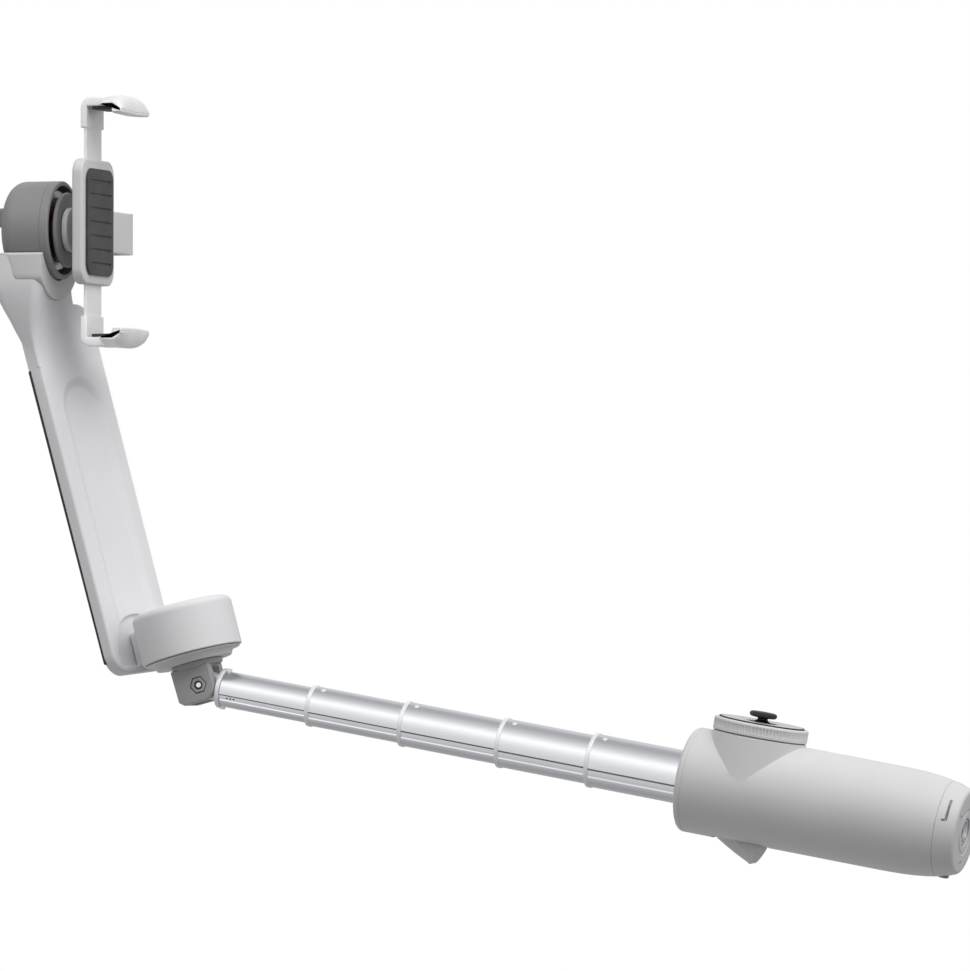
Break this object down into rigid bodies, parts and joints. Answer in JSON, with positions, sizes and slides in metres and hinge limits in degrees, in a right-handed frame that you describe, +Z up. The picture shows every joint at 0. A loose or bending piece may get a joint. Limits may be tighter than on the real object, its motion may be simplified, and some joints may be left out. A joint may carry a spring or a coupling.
{
  "type": "phone gimbal stabilizer",
  "caption": "Handheld three-motor phone gimbal on a telescopic stick drawn out from its handle, with a sprung phone clamp, joystick, wheel and trigger.",
  "frame": {"origin": "centre of the handle's base end face, at the mouth of its thread socket", "axes": "+X horizontally towards the handle's base end and the way the phone's screen faces, +Y away from the side with the hinge nut, +Z up"},
  "size_m": [0.3201, 0.0524, 0.2481],
  "materials": {
    "shell": "satin",
    "arm": "satin",
    "grey": "satin",
    "panel": "satin",
    "dark": "matte",
    "black": "satin",
    "rubber": "matte",
    "aluminium": "satin",
    "satin": "satin",
    "steel": "satin",
    "chrome": "polished",
    "brass": "satin",
    "copper": "satin",
    "board": "satin",
    "battery": "gloss"
  },
  "bodies": {
    "handle": {"handle_shell": "shell", "front_bezel": "grey", "rod_bay_sleeve": "dark", "battery_cell": "battery", "usb_socket": "steel", "main_board": "board", "joystick_housing": "dark", "touch_panel": "panel", "trigger_pin": "steel"},
    "wheel": {"control_wheel": "shell"},
    "joystick_cross": {"joystick_cradle": "steel"},
    "joystick_stick": {"joystick": "black"},
    "trigger_lever": {"trigger": "shell"},
    "power_key": {"power_button": "grey"},
    "tripod": {"tripod_cap": "shell", "thread_insert": "brass", "tripod_core": "dark", "tripod_leg_1": "grey", "tripod_leg_2": "grey", "tripod_leg_3": "grey", "foot_pad": "rubber"},
    "rod_5": {"tube_5": "aluminium"},
    "rod_4": {"tube_4": "aluminium"},
    "rod_3": {"tube_3": "aluminium"},
    "rod_2": {"tube_2": "aluminium"},
    "rod_1": {"tube_1": "aluminium", "rod_end": "steel"},
    "yoke": {"hinge_yoke": "shell", "hinge_pin": "steel", "hinge_nut": "chrome", "pan_base": "grey", "pan_windings": "copper"},
    "arm": {"pan_magnet_ring": "steel", "pan_bearing": "steel", "arm_shell": "arm", "arm_back_cover": "black", "arm_board": "board", "roll_housing": "grey", "roll_rear_plug": "dark", "roll_magnet_ring": "steel"},
    "roll_arm": {"roll_windings": "copper", "roll_rotor": "grey", "roll_bracket": "shell", "tilt_housing": "shell", "tilt_windings": "copper"},
    "clamp": {"tilt_rotor": "steel", "tilt_link": "shell", "clamp_plate": "shell", "jaw_spring_1": "steel", "jaw_spring_2": "steel", "rest_pad": "rubber", "magnet_ring": "steel"},
    "upper_jaw": {"jaw_upper": "satin", "jaw_pad_upper": "rubber"},
    "lower_jaw": {"jaw_lower": "satin", "jaw_pad_lower": "rubber"}
  },
  "joints": [
    {"name": "wheel_turn", "type": "hinge", "parent": "handle", "child": "wheel", "pos_m": [-0.06926, 0, 0.01261], "axis": [0.1791, 0, 0.9838], "continuous": true},
    {"name": "joystick_fore_aft", "type": "hinge", "parent": "handle", "child": "joystick_cross", "pos_m": [-0.06611, 0, 0.02993], "axis": [0, 1, 0], "range_deg": [-10, 10], "stiffness_Nm_per_rad": 0.02},
    {"name": "joystick_side", "type": "hinge", "parent": "joystick_cross", "child": "joystick_stick", "pos_m": [-0.06611, 0, 0.02993], "axis": [0.9838, 0, -0.1791], "range_deg": [-10, 10], "stiffness_Nm_per_rad": 0.02},
    {"name": "trigger_pull", "type": "hinge", "parent": "handle", "child": "trigger_lever", "pos_m": [-0.07771, 0, 0.00195], "axis": [0, -1, 0], "range_deg": [0, 7], "stiffness_Nm_per_rad": 0.1, "springref_deg": -1.72},
    {"name": "power_press", "type": "slide", "parent": "handle", "child": "power_key", "axis": [0, -1, 0], "range_m": [0, 0.0006], "stiffness_N_per_m": 900, "springref_m": -0.0003},
    {"name": "tripod_draw", "type": "slide", "parent": "handle", "child": "tripod", "axis": [0.9838, 0, -0.1791], "range_m": [0, 0.036]},
    {"name": "rod_5_slide", "type": "slide", "parent": "handle", "child": "rod_5", "axis": [0.9838, 0, -0.1791], "range_m": [0, 0.0305]},
    {"name": "rod_4_slide", "type": "slide", "parent": "rod_5", "child": "rod_4", "axis": [0.9838, 0, -0.1791], "range_m": [0, 0.0285]},
    {"name": "rod_3_slide", "type": "slide", "parent": "rod_4", "child": "rod_3", "axis": [0.9838, 0, -0.1791], "range_m": [0, 0.0313]},
    {"name": "rod_2_slide", "type": "slide", "parent": "rod_3", "child": "rod_2", "axis": [0.9838, 0, -0.1791], "range_m": [0, 0.03]},
    {"name": "rod_1_slide", "type": "slide", "parent": "rod_2", "child": "rod_1", "axis": [0.9838, 0, -0.1791], "range_m": [0, 0.026]},
    {"name": "head_fold", "type": "hinge", "parent": "rod_1", "child": "yoke", "pos_m": [-0.2493, 0, 0.0454], "axis": [0, -1, 0], "range_deg": [-17, 64]},
    {"name": "pan", "type": "hinge", "parent": "yoke", "child": "arm", "pos_m": [-0.25094, 0, 0.04496], "axis": [-0.2588, 0, 0.9659], "range_deg": [-120, 120]},
    {"name": "roll", "type": "hinge", "parent": "arm", "child": "roll_arm", "pos_m": [-0.2493, 0, 0.1907], "axis": [1, 0, 0], "range_deg": [-15, 90]},
    {"name": "tilt", "type": "hinge", "parent": "roll_arm", "child": "clamp", "pos_m": [-0.3013, 0, 0.1907], "axis": [0, -1, 0], "range_deg": [-5, 25]},
    {"name": "jaw_open", "type": "slide", "parent": "clamp", "child": "upper_jaw", "axis": [0, 0, 1], "range_m": [-0.00375, 0.00625]},
    {"name": "jaw_follow", "type": "slide", "parent": "clamp", "child": "lower_jaw", "axis": [0, 0, -1], "range_m": [-0.00375, 0.00625]}
  ],
  "couplings": [
    {"joint": "jaw_follow", "follows": "jaw_open", "ratio": 1}
  ]
}
